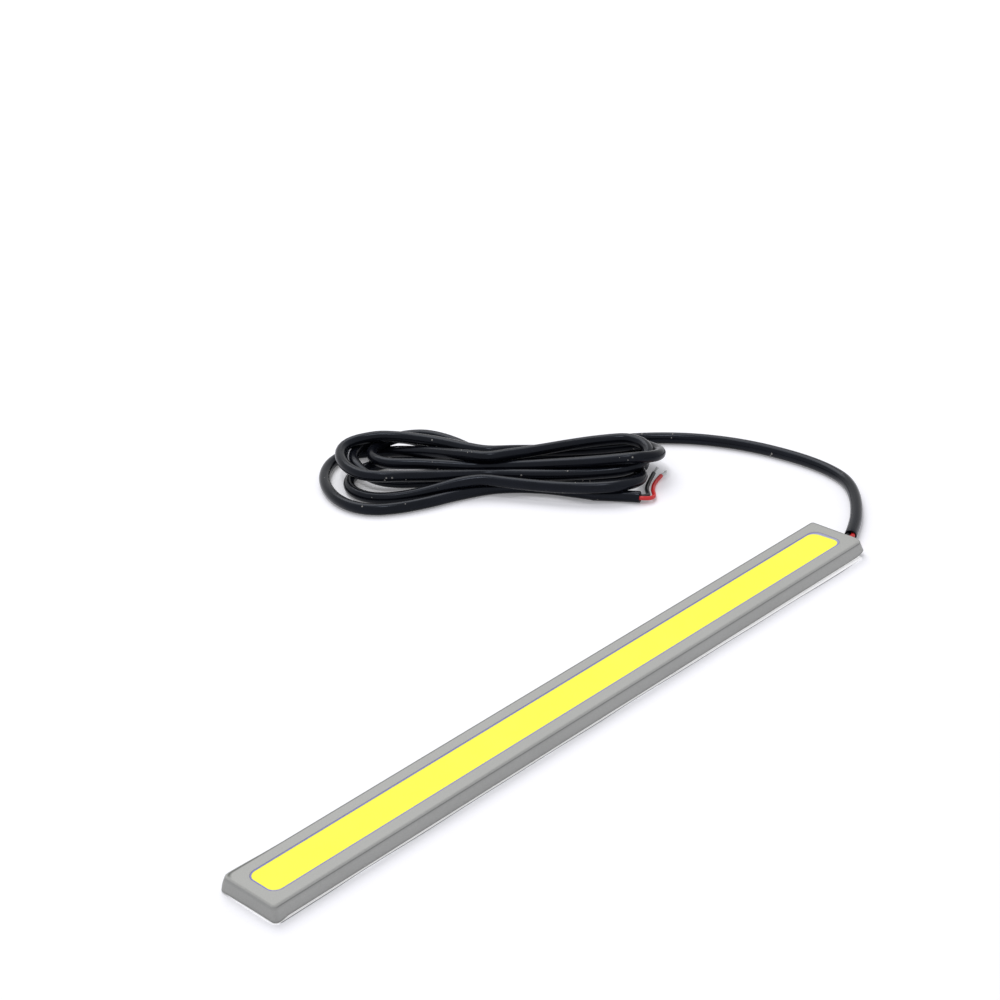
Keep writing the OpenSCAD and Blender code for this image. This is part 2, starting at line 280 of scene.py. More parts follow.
def newMaterial(name, **fixed):
    # a Principled material and its tree, with the object's own coordinates ready
    material = bpy.data.materials.new(name)
    material.use_nodes = True
    tree = material.node_tree
    shader = tree.nodes["Principled BSDF"]
    for label, value in fixed.items():
        shader.inputs[label.replace("_", " ")].default_value = value
    place = addNode(tree, "ShaderNodeTexCoord").outputs["Object"]
    return material, tree, shader, place


def useGroup(tree, group, links):
    return addNode(tree, "ShaderNodeGroup", links, node_tree=group).outputs


grainSpan = {"From Min": 0.3, "From Max": 0.7}  # nearly all of the grain's values lie between these


def grainFinish(tree, shader, place, look):
    # colour, roughness and bump from one grain: look names the two colours and the ranges
    grain = useGroup(tree, grainGroup, {
        "Position": place, "Fine": look["fine"], "Broad": look["broad"],
        "Broad Share": look["broadShare"]})
    spread = addNode(tree, "ShaderNodeMapRange", {"Value": grain["Grain"], **grainSpan})
    colour = mix(tree, "RGBA", spread.outputs["Result"], look["dark"], look["light"])
    rough = addNode(tree, "ShaderNodeMapRange", {
        "Value": grain["Grain"], **grainSpan, "To Min": look["rough"][0], "To Max": look["rough"][1]})
    bump = addNode(tree, "ShaderNodeBump", {
        "Height": grain["Height"], "Strength": look["bump"], "Distance": look["depth"] * mm})
    tree.links.new(colour, shader.inputs["Base Color"])
    tree.links.new(rough.outputs["Result"], shader.inputs["Roughness"])
    tree.links.new(bump.outputs["Normal"], shader.inputs["Normal"])
    return colour, rough.outputs["Result"]


# Each finish runs between a dark and a light colour. fine and broad are its grain's scales, depth is
# its bump's in millimetres, and markColour is the colour where a mesh is marked: painted shade on the
# shell and along the liner's edge, and a paler colour at the dam's wide end. glow is painted light: an
# emission that brightens the phosphor and the liner, which are no lamps. usualLook fills what a
# finish leaves out.
usualLook = {"broadShare": 0.5, "metal": 0.0, "shine": 0.5, "glow": ((1, 1, 1, 1), 0.0)}
finishes = {
    # the shell's markColour is painted shade, put where makeShell marks the mesh
    "shellAluminium": {
        "dark": (0.38, 0.382, 0.36, 1), "light": (0.49, 0.493, 0.468, 1), "fine": 4200.0, "broad": 45.0,
        "broadShare": 0.25, "rough": (0.5, 0.62), "bump": 0.35, "depth": 0.02,
        "markColour": (0.1, 0.105, 0.095, 1), "metal": 0.15, "shine": 0.4},
    # the phosphor's glow is painted light: it glows though the light is not switched on
    "phosphorSilicone": {
        "dark": (0.97, 0.96, 0.075, 1), "light": (0.99, 0.985, 0.1, 1), "fine": 2600.0, "broad": 120.0,
        "rough": (0.4, 0.52), "bump": 0.12, "depth": 0.02, "shine": 0.08,
        "glow": ((1.0, 1.0, 0.08, 1), 0.12)},
    "damSilicone": {
        "dark": (0.19, 0.17, 0.62, 1), "light": (0.25, 0.23, 0.72, 1), "fine": 3000.0, "broad": 200.0,
        "rough": (0.28, 0.4), "bump": 0.1, "depth": 0.01, "markColour": (0.33, 0.33, 0.5, 1)},
    "boardLaminate": {
        "dark": (0.62, 0.64, 0.6, 1), "light": (0.72, 0.73, 0.7, 1), "fine": 2400.0, "broad": 150.0,
        "broadShare": 0.4, "rough": (0.4, 0.5), "bump": 0.1, "depth": 0.01},
    "chipCeramic": {
        "dark": (0.6, 0.52, 0.12, 1), "light": (0.8, 0.72, 0.2, 1), "fine": 6000.0, "broad": 900.0,
        "rough": (0.2, 0.35), "bump": 0.1, "depth": 0.005},
    "resistorBlack": {
        "dark": (0.012, 0.012, 0.013, 1), "light": (0.03, 0.03, 0.032, 1), "fine": 5000.0, "broad": 700.0,
        "rough": (0.35, 0.5), "bump": 0.15, "depth": 0.01},
    "pottingBlack": {
        "dark": (0.008, 0.008, 0.009, 1), "light": (0.02, 0.02, 0.022, 1), "fine": 1500.0, "broad": 80.0,
        "broadShare": 0.6, "rough": (0.15, 0.35), "bump": 0.2, "depth": 0.04},
    "sealBlack": {
        "dark": (0.01, 0.01, 0.012, 1), "light": (0.022, 0.022, 0.026, 1), "fine": 3000.0, "broad": 300.0,
        "rough": (0.25, 0.4), "bump": 0.2, "depth": 0.02},
    "tapeFoam": {
        "dark": (0.62, 0.62, 0.6, 1), "light": (0.8, 0.8, 0.78, 1), "fine": 3800.0, "broad": 400.0,
        "broadShare": 0.3, "rough": (0.8, 0.95), "bump": 0.6, "depth": 0.06},
    # the liner's glow is painted light that whitens it, and its markColour is a painted contact shadow
    # along its long edges
    "linerFilm": {
        "dark": (0.9, 0.9, 0.91, 1), "light": (0.97, 0.97, 0.98, 1), "fine": 900.0, "broad": 40.0,
        "broadShare": 0.7, "rough": (0.25, 0.45), "bump": 0.15, "depth": 0.03,
        "glow": ((1.0, 1.0, 1.0, 1), 0.4), "markColour": (0.06, 0.06, 0.065, 1)},
    "solderBead": {
        "dark": (0.5, 0.51, 0.52, 1), "light": (0.66, 0.67, 0.69, 1), "fine": 2600.0, "broad": 500.0,
        "rough": (0.18, 0.4), "bump": 0.3, "depth": 0.03, "metal": 1.0},
    "tinnedStrands": {
        "dark": (0.45, 0.46, 0.47, 1), "light": (0.68, 0.69, 0.7, 1), "fine": 4200.0, "broad": 700.0,
        "rough": (0.22, 0.42), "bump": 0.25, "depth": 0.01, "metal": 1.0},
    "copperStrands": {
        "dark": (0.55, 0.24, 0.12, 1), "light": (0.78, 0.42, 0.25, 1), "fine": 4200.0, "broad": 700.0,
        "rough": (0.22, 0.4), "bump": 0.2, "depth": 0.01, "metal": 1.0},
    "leadRed": {
        "dark": (0.55, 0.012, 0.014, 1), "light": (0.72, 0.02, 0.022, 1), "fine": 3200.0, "broad": 240.0,
        "rough": (0.3, 0.42), "bump": 0.15, "depth": 0.01},
    "leadBlack": {
        "dark": (0.006, 0.006, 0.007, 1), "light": (0.014, 0.014, 0.016, 1), "fine": 3200.0,
        "broad": 240.0, "rough": (0.3, 0.45), "bump": 0.15, "depth": 0.01},
    "sheathPvc": {
        "dark": (0.0022, 0.0024, 0.0036, 1), "light": (0.006, 0.0068, 0.0105, 1),
        "fine": 2600.0, "broad": 130.0, "rough": (0.16, 0.26), "bump": 0.15, "depth": 0.01,
        "shine": 0.16, "tint": (0.76, 0.84, 1.0, 1),
        "scuff": (0.09, 0.092, 0.1, 1), "scuffScale": 420.0, "scuffFrom": 0.66, "scuffFull": 0.8,
        "speck": (0.34, 0.33, 0.3, 1), "speckScale": 900.0, "speckSize": 0.2, "patchScale": 160.0,
        "patchCut": 0.6, "speckCover": 0.8, "speckRough": 0.9},
}


def makeSheath(look):
    # dull black sheath with a few scuffs along it and sparse pale dust
    material, tree, shader, place = newMaterial("sheathPvc", Specular_IOR_Level=look["shine"],
                                                Specular_Tint=look["tint"])
    colour, rough = grainFinish(tree, shader, place, look)
    scuff = addNode(tree, "ShaderNodeTexNoise", {
        "Vector": place, "Scale": look["scuffScale"], "Detail": 6.0, "Roughness": 0.75})
    scuffMask = addNode(tree, "ShaderNodeMapRange", {
        "Value": scuff.outputs["Fac"], "From Min": look["scuffFrom"], "From Max": look["scuffFull"]})
    specks = useGroup(tree, dustGroup, {
        "Position": place, "Scale": look["speckScale"], "Size": look["speckSize"],
        "Patch Scale": look["patchScale"], "Patch Cut": look["patchCut"]})["Specks"]
    worn = mix(tree, "RGBA", scuffMask.outputs["Result"], colour, look["scuff"])
    cover = calculate(tree, "MULTIPLY", specks, look["speckCover"])
    dusty = mix(tree, "RGBA", cover, worn, look["speck"])
    rougher = calculate(tree, "MAXIMUM", rough, calculate(tree, "MULTIPLY", specks, look["speckRough"]))
    tree.links.new(dusty, shader.inputs["Base Color"])
    tree.links.new(rougher, shader.inputs["Roughness"])
    return material


def makePlain(name, look):
    # grain, and a second colour where the mesh is marked: painted shade on the shell's folds, edges and
    # top and on the liner's edge, a paler colour at the dam's wide end. The glow is painted light, dimmed
    # where marked
    paintedGlowColour, glow = look["glow"]
    material, tree, shader, place = newMaterial(name, Metallic=look["metal"],
                                                Specular_IOR_Level=look["shine"],
                                                Emission_Color=paintedGlowColour, Emission_Strength=glow)
    colour = grainFinish(tree, shader, place, look)[0]
    if "markColour" in look:
        mark = addNode(tree, "ShaderNodeAttribute", attribute_name="foldMark").outputs["Fac"]
        feed(tree, shader.inputs["Base Color"], mix(tree, "RGBA", mark, colour, look["markColour"]))
        if glow:
            dimmed = mix(tree, "RGBA", mark, paintedGlowColour, look["markColour"])
            feed(tree, shader.inputs["Emission Color"], dimmed)
    return material


materials = {"sheathPvc": makeSheath({**usualLook, **finishes["sheathPvc"]})}
for name, look in finishes.items():
    if name not in materials:
        materials[name] = makePlain(name, {**usualLook, **look})
print("materials made:", len(materials))

# Cable: its free run, the folded turns of the hank and its free end

cableLay = {
    "diameter": 2.8,
    "start": (87.7, -1.4),  # the light's cable exit, from the light's middle
    "rest": 1.4,  # height of its middle where it lies on the surface
    "hankAt": (58.0, 85.0),
    "hankTurn": -49.0,  # degrees
    "spacing": 1.4,
    "settleSteps": 900,
    "fixedRun": 105.0,  # length from the start that the settling leaves alone
    "easeSteps": 14,  # points after it over which the cable comes free
    "endSteps": 8,  # points before the far end over which it is held again
    "searchEvery": 25,  # steps between two searches for strands that lie close
    "searchReach": 1.8,  # in diameters
    "alongReach": 3,  # in diameters: parts of the cable closer than this along it never push
    "apart": 1.01,  # in diameters
    "pushShare": 0.9,
    "sink": 0.004,
    "memory": 0.998,  # share of its shift that a free point keeps
    "heldLoss": 0.5,  # share that a held point loses
    "sides": 24,
    "mouth": 1.1,
    "mouthDepth": 1.6,
    "lip": 0.12,
}
runRoute = [  # the same points as in the part's source
    (0, 0.2), (1.7, 1.1), (3.4, 2), (6.8, 4), (10.2, 6.4), (13.5, 9.1), (16.5, 12), (19, 15),
    (21, 18.4), (22.3, 22.6), (23, 27.5), (23.1, 33), (22.6, 39), (21.6, 45.3), (19.7, 52.3),
    (16.8, 59.4), (13.2, 65.6), (9.2, 70.8), (5, 75), (0.4, 78.5), (-5, 81.5), (-10.8, 84.2),
    (-16.6, 86.6), (-21.7, 88.9),
]
tailRoute = [(-20.5, 60.5), (-18.9, 57.9), (-17.3, 55.3), (-15.9, 53), (-14.6, 50.7)]
lobeShape = {"tipLength": 1.1, "arcPoints": 9, "legPoints": 5}  # length is a share of the half width

# Each turn of the hank goes out along the back, round its wide lobe, back along the front and round
# its narrow lobe. back and front are (side, height) at the waist. A lobe is its reach from the
# waist, the side of its middle, its half width, how far its tip leans sideways, its height where
# the cable enters and leaves it, and how far its tip dips.
hankTurns = [
    {"back": (6.6, 1.4), "wide": (-34.2, 0.9, 9.6, 0, 1.6, 1.4, 0),
     "front": (-6.3, 3.3), "narrow": (36.8, -4.6, 7.1, 0, 3.9, 2.8, 0)},
    {"back": (3.8, 1.4), "wide": (-34.4, 9.2, 10.4, 1, 3.9, 1.5, 0),
     "front": (1.0, 1.4), "narrow": (37.6, 4.8, 6.9, 0, 2.0, 1.5, 0)},
    {"back": (5.2, 3.9), "wide": (-29.6, 10.6, 7.1, 0, 3.9, 5.2, 0),
     "front": (2.4, 3.9), "narrow": (40.6, 3.8, 7.0, -1, 6.2, 2.8, 0)},
    {"back": (4.4, 6.4), "wide": (-36.8, 4.9, 9.6, 3, 5.8, 6.4, 0),
     "front": (-0.4, 3.9), "narrow": (39.4, 2.8, 7.0, 0, 4.8, 6.4, 0)},
]
lastTurn = [  # over the back of the turn before it at the waist, down behind it and on the surface
    (0, 1.8, 6.4), (-7, 4.8, 6.2), (-13, 8.6, 5.6), (-19, 12.0, 4.6), (-25, 15.0, 3.8),
    (-30.6, 16.8, 2.8), (-35.2, 16.6, 1.6), (-38.6, 14.8, 1.4), (-40.6, 11.2, 1.4), (-41.2, 6.5, 1.4),
    (-40.6, 1.6, 1.4), (-38.8, -3.4, 1.4), (-35.8, -8.2, 1.4), (-31.6, -11.9, 1.4), (-26.4, -13.6, 1.4),
    (-20.4, -12.9, 1.4), (-14, -10.5, 1.4), (-7.5, -7.2, 1.4), (0, -4.8, 1.4), (7, -4.6, 1.4),
    (14, -5.8, 1.4), (20, -7.8, 1.4), (25.4, -9.8, 1.4),
]


def lobe(start, end, shape):
    # Two strands between the waist and the sides of a half ellipse, joined round its tip. Sideways
    # place and height blend from the waist's to the lobe's; lean and dip go with the cosine's square.
    reach, middle, half, lean, enter, leave, dip = shape
    way = math.copysign(1, reach)
    tip = lobeShape["tipLength"] * half
    centre = reach - way * tip
    angle = np.radians(np.linspace(-90, 90, lobeShape["arcPoints"]))
    arc = np.column_stack([centre + way * tip * np.cos(angle),
                           middle + way * half * np.sin(angle) + lean * np.cos(angle) ** 2,
                           enter + (leave - enter) * (1 + np.sin(angle)) / 2 - dip * np.cos(angle) ** 2])
    t = np.linspace(0, 1, lobeShape["legPoints"] + 1)[:-1]
    share = 0.5 * (blendSmooth(t) + np.sin(0.5 * math.pi * t))[:, None]
    out = np.column_stack([centre * t, start + (arc[0, 1:] - start) * share])
    back = np.column_stack([centre * t, end + (arc[-1, 1:] - end) * share])[::-1]
    return np.vstack([out, arc, back])


def drawnCable(lay):
    # all turns of the hank worked out by a loop, turned into place, between the run and the tail
    parts = []
    starts = [turn["back"] for turn in hankTurns] + [lastTurn[0][1:]]
    for turn, following in zip(hankTurns, starts[1:]):
        parts.append(lobe(np.array(turn["back"]), np.array(turn["front"]), turn["wide"]))
        parts.append(lobe(np.array(turn["front"]), np.array(following), turn["narrow"])[1:-1])
    hank = np.vstack([*parts, lastTurn])
    angle = math.radians(lay["hankTurn"])
    along = np.array([math.cos(angle), math.sin(angle), 0])
    side = np.array([-math.sin(angle), math.cos(angle), 0])
    middle = np.array([*lay["hankAt"], 0])
    hank = middle + hank[:, :1] * along + hank[:, 1:2] * side + hank[:, 2:] * np.array([0, 0, 1])
    start = np.array([*lay["start"], lay["rest"]])
    run = np.pad(np.array(runRoute, float), ((0, 0), (0, 1))) + start
    tail = np.pad(np.array(tailRoute, float), ((0, 0), (0, 1))) + start
    return evenly(np.vstack([run[:-1], hank, tail]), lay["spacing"])


def settledCable(line, lay):
    # Strands that lie in each other move apart by half of what overlaps, all sink a little, nothing
    # goes under the surface, and the shift from the drawn line is smoothed along the cable twice in
    # each step, so that it bends evenly. held is 1 where the cable may not move.
    diameter, ease, end = lay["diameter"], lay["easeSteps"], lay["endSteps"]
    first = int(lay["fixedRun"] / lay["spacing"])
    held = np.zeros(len(line))
    held[:first] = 1
    held[first:first + ease] = np.linspace(1, 0, ease)
    held[-end:] = np.linspace(0, 1, end)
    held = held[:, None]
    along = int(lay["alongReach"] * diameter / lay["spacing"])
    x = line.copy()
    for step in range(lay["settleSteps"]):
        if step % lay["searchEvery"] == 0:
            square = ((x[:, None] - x[None]) ** 2).sum(2)
            i, j = np.nonzero(np.triu(square < (lay["searchReach"] * diameter) ** 2, along + 1))
        gap = x[i] - x[j]
        distance = np.linalg.norm(gap, axis=1) + 1e-9
        overlap = np.clip(lay["apart"] * diameter - distance, 0, None)
        move = gap / distance[:, None] * (0.5 * overlap)[:, None]
        push = np.zeros_like(x)
        touches = np.zeros(len(x))
        np.add.at(push, i, move)
        np.add.at(push, j, -move)
        np.add.at(touches, i, overlap > 0)
        np.add.at(touches, j, overlap > 0)
        x += lay["pushShare"] * push / np.maximum(1, 0.5 * touches)[:, None]
        x[:, 2:] -= lay["sink"] * (1 - held)
        shift = x - line
        for _ in range(2):
            shift[1:-1] += 0.5 * (0.5 * (shift[2:] + shift[:-2]) - shift[1:-1])
        x = line + shift * (lay["memory"] - lay["heldLoss"] * held)
        x[:, 2] = np.maximum(x[:, 2], lay["rest"] + offSurface)
    return x


def makeCable(lay):
    path = settledCable(drawnCable(lay), lay)
    points, faces = tubeOf(path, lay["diameter"] / 2, lay)
    cable = addPiece("cable", points * mm, faces, materials["sheathPvc"])
    standFor(cable, "sheath_black", "cable_run", "cable_hank", "cable_tail")
    return cable, path


cable, cablePath = makeCable(cableLay)
cableLength = np.linalg.norm(np.diff(cablePath, axis=0), axis=1).sum()
print("cable laid, length", round(float(cableLength), 1), "mm")

# Leads: two insulated wires at each end of the cable

leadShape = {
    "diameter": 1.0,
    "pitch": 1.1,
    "shellEnd": 85.0,
    "show": 2.7,
    "jointBack": 8.0,
    "jointSide": 1.8,
    "level": 1.65,
    "strip": 2.0,
    "parting": (2.0, 3.6, 5.2),  # behind the wall: the leads start to part, are halfway and lie apart
    "inSheath": (1.4, 0, -0.5),  # along the cable, from inside its mouth
    "spacing": 0.25,
    "sides": 20,
    "mouth": 0.32,
    "mouthDepth": 0.4,
    "lip": 0.06,
}
farSteps = (-1.4, 0.0, 0.4, 0.8)  # straight out of the sheath, from inside its mouth
farRoutes = {  # the same points as in the part's source
    "Positive": [(-14.1, 49.3, 1.3), (-13.3, 48.7, 1.2), (-12.1, 48.8, 1), (-10.8, 49.8, 0.8),
                 (-9.2, 51.6, 0.6), (-7.2, 53.2, 0.5), (-4.8, 54.4, 0.5), (-2.2, 55.3, 0.5),
                 (-0.8, 55.6, 0.5), (0.6, 55.9, 0.5)],
    "Negative": [(-13, 50.1, 1.3), (-12.2, 50.3, 1.2), (-11.4, 51.2, 1), (-10.5, 52.3, 0.8),
                 (-9.3, 53.5, 0.6), (-7.3, 54.9, 0.5), (-4.8, 56.3, 0.5), (-2.3, 57.6, 0.5),
                 (-0.8, 58.3, 0.5), (0.7, 59, 0.5)],
}
tipPoints = 3  # the last points of each route are bare strands


def lampRoute(side, lead):
    # from inside the turned sheath's mouth, round into line with the light, and apart to the joints
    heading = cablePath[1] - cablePath[0]
    heading[2] = 0
    heading /= np.linalg.norm(heading)
    across = np.cross([0, 0, 1], heading)
    face = np.array([*cablePath[0][:2], lead["level"]]) + side * lead["pitch"] / 2 * across
    wall = lead["shellEnd"]
    joint = wall - lead["jointBack"]
    y = cableLay["start"][1]
    close, apart = y + side * lead["pitch"] / 2, y + side * lead["jointSide"]
    begin, halfway, done = lead["parting"]
    stops = [(wall + lead["show"] / 4, close), (wall - begin, close),
             (wall - halfway, (close + apart) / 2), (wall - done, apart), (joint + lead["strip"], apart)]
    inside = [face + heading * step for step in lead["inSheath"]]
    return np.vstack([inside, [(x, place, lead["level"]) for x, place in stops]])


def farRoute(points, side, lead):
    end = cablePath[-1]
    heading = cablePath[-1] - cablePath[-2]
    heading /= np.linalg.norm(heading)
    across = np.cross([0, 0, 1], heading)
    start = [end + side * lead["pitch"] / 2 * across + step * heading for step in farSteps]
    offset = np.array([*cableLay["start"], 0])
    return np.vstack([start, np.array(points) + offset])


def makeLead(name, route, slotName, node, lead):
    colour = "leadRed" if "Positive" in name else "leadBlack"
    path = evenly(route, lead["spacing"])
    path[:, 2] = np.maximum(path[:, 2], lead["diameter"] / 2 + offSurface)
    points, faces = tubeOf(path, lead["diameter"] / 2, lead)
    return standFor(addPiece(name, points * mm, faces, materials[colour]), slotName, node)


tipTwist = {
    "strandRadius": 0.105,
    "ring": 0.2,  # distance of the outer strands from the middle one
    "count": 6,
    "turnLength": 3.2,
    "spread": 0.16,
    "leastSpread": 0.4,  # share of the spread that every outer strand has
    "spacing": 0.12,
    "sides": 10,
    "mouth": 0.05,
    "mouthDepth": 0.02,
    "lip": 0.03,
}


def makeTip(name, route, node, twist):
    # Six strands wind round a seventh: each follows the wire's path at a fixed distance, turning
    # with its length, leans out with the cube of its length, each by its own share, and is cut at
    # its own length.
    path = evenly(route, twist["spacing"])
    count, least = twist["count"], twist["leastSpread"]
    strands = count + 1
    heading, side, up = frames(path)
    run = np.r_[0, np.cumsum(np.linalg.norm(np.diff(path, axis=0), axis=1))]
    part = run / run[-1]
    allPoints, allFaces = [], []
    for k in range(strands):
        angle = 2 * math.pi * (run / twist["turnLength"] + k / count)
        own = least + (1 - least) * ((k * 5) % strands) / count
        out = (twist["ring"] + twist["spread"] * part ** 3 * own) * (k < count)
        line = path + side * (out * np.cos(angle))[:, None] + up * (out * np.sin(angle))[:, None]
        line[:, 2] = np.maximum(line[:, 2], twist["strandRadius"] + offSurface)
        keep = len(line) - (k * 3) % strands
        points, faces = tubeOf(line[:keep], twist["strandRadius"], twist)
        allFaces.append(faces + sum(len(p) for p in allPoints))
        allPoints.append(points)
    tip = addPiece(name, np.vstack(allPoints) * mm, np.vstack(allFaces), materials["tinnedStrands"])
    return standFor(tip, "tinned_strands", node)


cablePieces = []
for label, side, slotName in (("Positive", -1, "lead_red"), ("Negative", 1, "lead_black")):
    low = label.lower()
    near, far = lampRoute(side, leadShape), farRoute(farRoutes[label], side, leadShape)
    cablePieces += [
        makeLead(f"lead{label}LampEnd", near, slotName, f"lead_{low}_lamp_end", leadShape),
        makeLead(f"lead{label}FarEnd", far[:1 - tipPoints], slotName, f"lead_{low}_far_end", leadShape),
        makeTip(f"tinnedTip{label}", far[-tipPoints - 1:], f"tinned_tip_{low}", tipTwist),
    ]

print("leads made:", len(cablePieces))

# Front shell: one sheet of aluminium pressed into a shallow pan with a long window

shellLow, shellHigh = (np.array(corner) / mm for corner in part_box("front_shell"))
shellShape = {
    "length": float(shellHigh[0] - shellLow[0]),
    "width": float(shellHigh[1] - shellLow[1]),
    "top": float(shellHigh[2]),
    "skirt": 0.5,  # height of the skirts' lower edge
    "sheet": 0.45,
    "fold": 0.55,
    "foldSteps": 13,
    "flatSteps": (0.08, 0.35, 0.65, 0.92),  # rings between the fold and the window
    "lean": 0.35,
    "topCorners": (0.3, 1.2, 0.5, 2.4),  # far cable, far plain, near plain and near cable corner
    "lowCorners": (1.2, 1.3, 1.1, 1.2),
    "earDrop": 0.3,
    "earReach": 2.0,
    "clipLength": 2.8,
    "clipHeight": 0.75,
    "plainRim": 2.9,
    "cableRim": 3.5,
    "sideRim": 3.35,
    "windowRadius": 2.2,
    "cutRound": 0.1,
    "leastCorner": 0.04,
    "innerFlat": 0.4,  # flat rim on the underside, beside the inner fold
    "flare": (-0.2, 1.15),  # how far the far skirt stands out at the plain end
    "flareReach": 12.0,
    "foldFlare": 0.45,  # share of it that is left at the foot of the fold
    "earBlend": 0.5,
    "endReach": 1.4,  # the painted shade of an end wall begins this far from the end
    # marks: painted shade, how dark each place is painted. A line along the fold has strength, middle and
    # spread in degrees.
    "skirtPaintedShade": ((0, 0.5), (0.05, 0.25), (0.2, 0), (0.35, 0), (0.5, 0), (0.65, 0), (0.8, 0),
                   (0.95, 0.15)),
    "plainPaintedShade": 0.13,
    "foldPaintedShade": (0.7, 9, 13),
    "farPaintedShade": (0.9, 76, 18),
    "topPaintedShade": 0.15,
    "cutPaintedShade": (0.25, 0.4),
    "footPaintedShade": (0.5, 0.6),
}


def roundedOutline(length, width, radius, cornerSteps=10, sideSteps=28):
    # Walks round a rectangle with round corners, with the same number of points for any size, so that
    # outlines pair up. On the straight sides the points crowd towards the corners. radius is one for
    # all corners, or one each in the order of topCorners.
    radii = np.broadcast_to(radius, 4)
    share = 0.5 - 0.5 * np.cos(np.linspace(0, math.pi, sideSteps + 2)[1:-1])
    angle = np.linspace(0, math.pi / 2, cornerSteps + 1)
    corners = []
    for k, signs in enumerate([(1, 1), (-1, 1), (-1, -1), (1, -1)]):
        turn = angle + k * math.pi / 2
        centre = signs * (np.array([length, width]) / 2 - radii[k])
        corners.append(centre + radii[k] * np.column_stack([np.cos(turn), np.sin(turn)]))
    parts = []
    for corner, following in zip(corners, corners[1:] + corners[:1]):
        parts += [corner, corner[-1] + (following[0] - corner[-1]) * share[:, None]]
    return np.vstack(parts)


def windowOutline(grow):
    # the window grown by a distance on every side
    length = shellShape["length"] - shellShape["plainRim"] - shellShape["cableRim"]
    width = shellShape["width"] - 2 * shellShape["sideRim"]
    outline = roundedOutline(length + 2 * grow, width + 2 * grow, shellShape["windowRadius"] + grow)
    return outline + [(shellShape["plainRim"] - shellShape["cableRim"]) / 2, 0]


def makeShell(shape):
    # One closed profile is carried round the outline: up the leaning skirt, round the fold, across
    # the top to the window, down its cut edge, back along the underside and down inside the skirt.
    # The end wall's lower edge hangs a little lower and turns round both corners as small ears; the
    # clipped corners lift it at the cable end.
    length, width, top = shape["length"], shape["width"], shape["top"]
    skirt, sheet, fold, lean = shape["skirt"], shape["sheet"], shape["fold"], shape["lean"]
    topCorners, lowCorners = np.array(shape["topCorners"]), np.array(shape["lowCorners"])
    foldStart = top - fold
    outer = roundedOutline(length, width, lowCorners)
    x, y = outer.T
    ear = shape["earDrop"] * blendSmooth((shape["earReach"] - x - length / 2) / shape["earBlend"])
    away = np.linalg.norm(outer - np.array([-length / 2, width / 2]), axis=1)
    flare = blendSmooth(1.1 - away / shape["flareReach"])  # away from the far corner
    flare = (flare * blendSmooth(y / width + 0.5))[:, None] * shape["flare"]
    # where the painted shade goes: 1 at the plain end's wall, and 1 at the cable end's and along the far
    # skirt
    atPlain = blendSmooth(-x - length / 2 + shape["endReach"])
    endWall = blendSmooth(x - length / 2 + shape["endReach"]) * blendSmooth(y / width * 4 + 1.6)
    farSide = np.maximum(blendSmooth(y / width * 8 - 3), endWall)
    clip = shape["clipHeight"] * np.clip((x - length / 2) / shape["clipLength"] + 1, 0, 1)
    low = skirt - ear + clip
    # marks are painted shade in the shell's colour: the skirts' foot and lower edge, the plain end wall,
    # a line along the fold, another along the far fold, the whole top and the window's cut edge are
    # painted darker
    rings, marks = [], []

    def add(flat, level, mark):
        rings.append(atLevel(flat, level))
        marks.append(np.broadcast_to(mark, len(flat)))

    def ring(inset, level, mark=0.0, flared=0.0):
        corners = lowCorners + (topCorners - lowCorners) * inset / (lean + fold)
        corners = np.maximum(shape["leastCorner"], corners)
        add(roundedOutline(length - 2 * inset, width - 2 * inset, corners) + flare * flared, level, mark)

    def paintedShadeLine(line, a):
        # a bell curve of painted shade over the fold's angle
        strength, middle, spread = line
        return strength * math.exp(-((a - middle) / spread) ** 2)

    cut, kept = shape["cutRound"], shape["foldFlare"]
    for share, paintedShade in shape["skirtPaintedShade"]:
        ring(lean * share, low + cut + (foldStart - low - cut) * share,
             paintedShade + shape["plainPaintedShade"] * atPlain, 1 - (1 - kept) * share ** 2)
    for a in np.linspace(0, 90, shape["foldSteps"]):
        mark = paintedShadeLine(shape["foldPaintedShade"], a) * (1 - 0.5 * atPlain) + shape["topPaintedShade"] * a / 90
        mark = mark + paintedShadeLine(shape["farPaintedShade"], a) * farSide
        turn = math.radians(a)
        ring(lean + fold * (1 - math.cos(turn)), foldStart + fold * math.sin(turn), mark,
             kept * math.cos(turn))
    flatEdge = rings[-1][:, :2]
    window = windowOutline(0)
    for share in shape["flatSteps"]:
        add(flatEdge + (window - flatEdge) * share, top, shape["topPaintedShade"])
    paintedShades = shape["topPaintedShade"], shape["topPaintedShade"], *shape["cutPaintedShade"]
    edges = (cut, 0), (cut * 0.3, cut * 0.3), (0, cut), (0, sheet)
    for paintedShade, (grow, drop) in zip(paintedShades, edges):
        add(windowOutline(grow), top - drop, paintedShade)
    ring(lean + sheet + shape["innerFlat"], top - sheet)
    inner = fold - sheet
    for a in np.radians((90, 60, 30, 0)):
        ring(lean + sheet + inner * (1 - math.cos(a)), top - sheet - inner * (1 - math.sin(a)))
    ring(sheet, low + cut, 0, 1)
    for inset, paintedShade in zip((sheet - cut, cut), shape["footPaintedShade"]):
        ring(inset, low, paintedShade, 1)
    shell = ringPiece("frontShell", rings, "shellAluminium", marks=np.array(marks).ravel())
    standFor(shell, "shell_aluminium", "front_shell")


makeShell(shellShape)
print("shell pressed")

# Light window: the silicone dam's lip and the phosphor filling

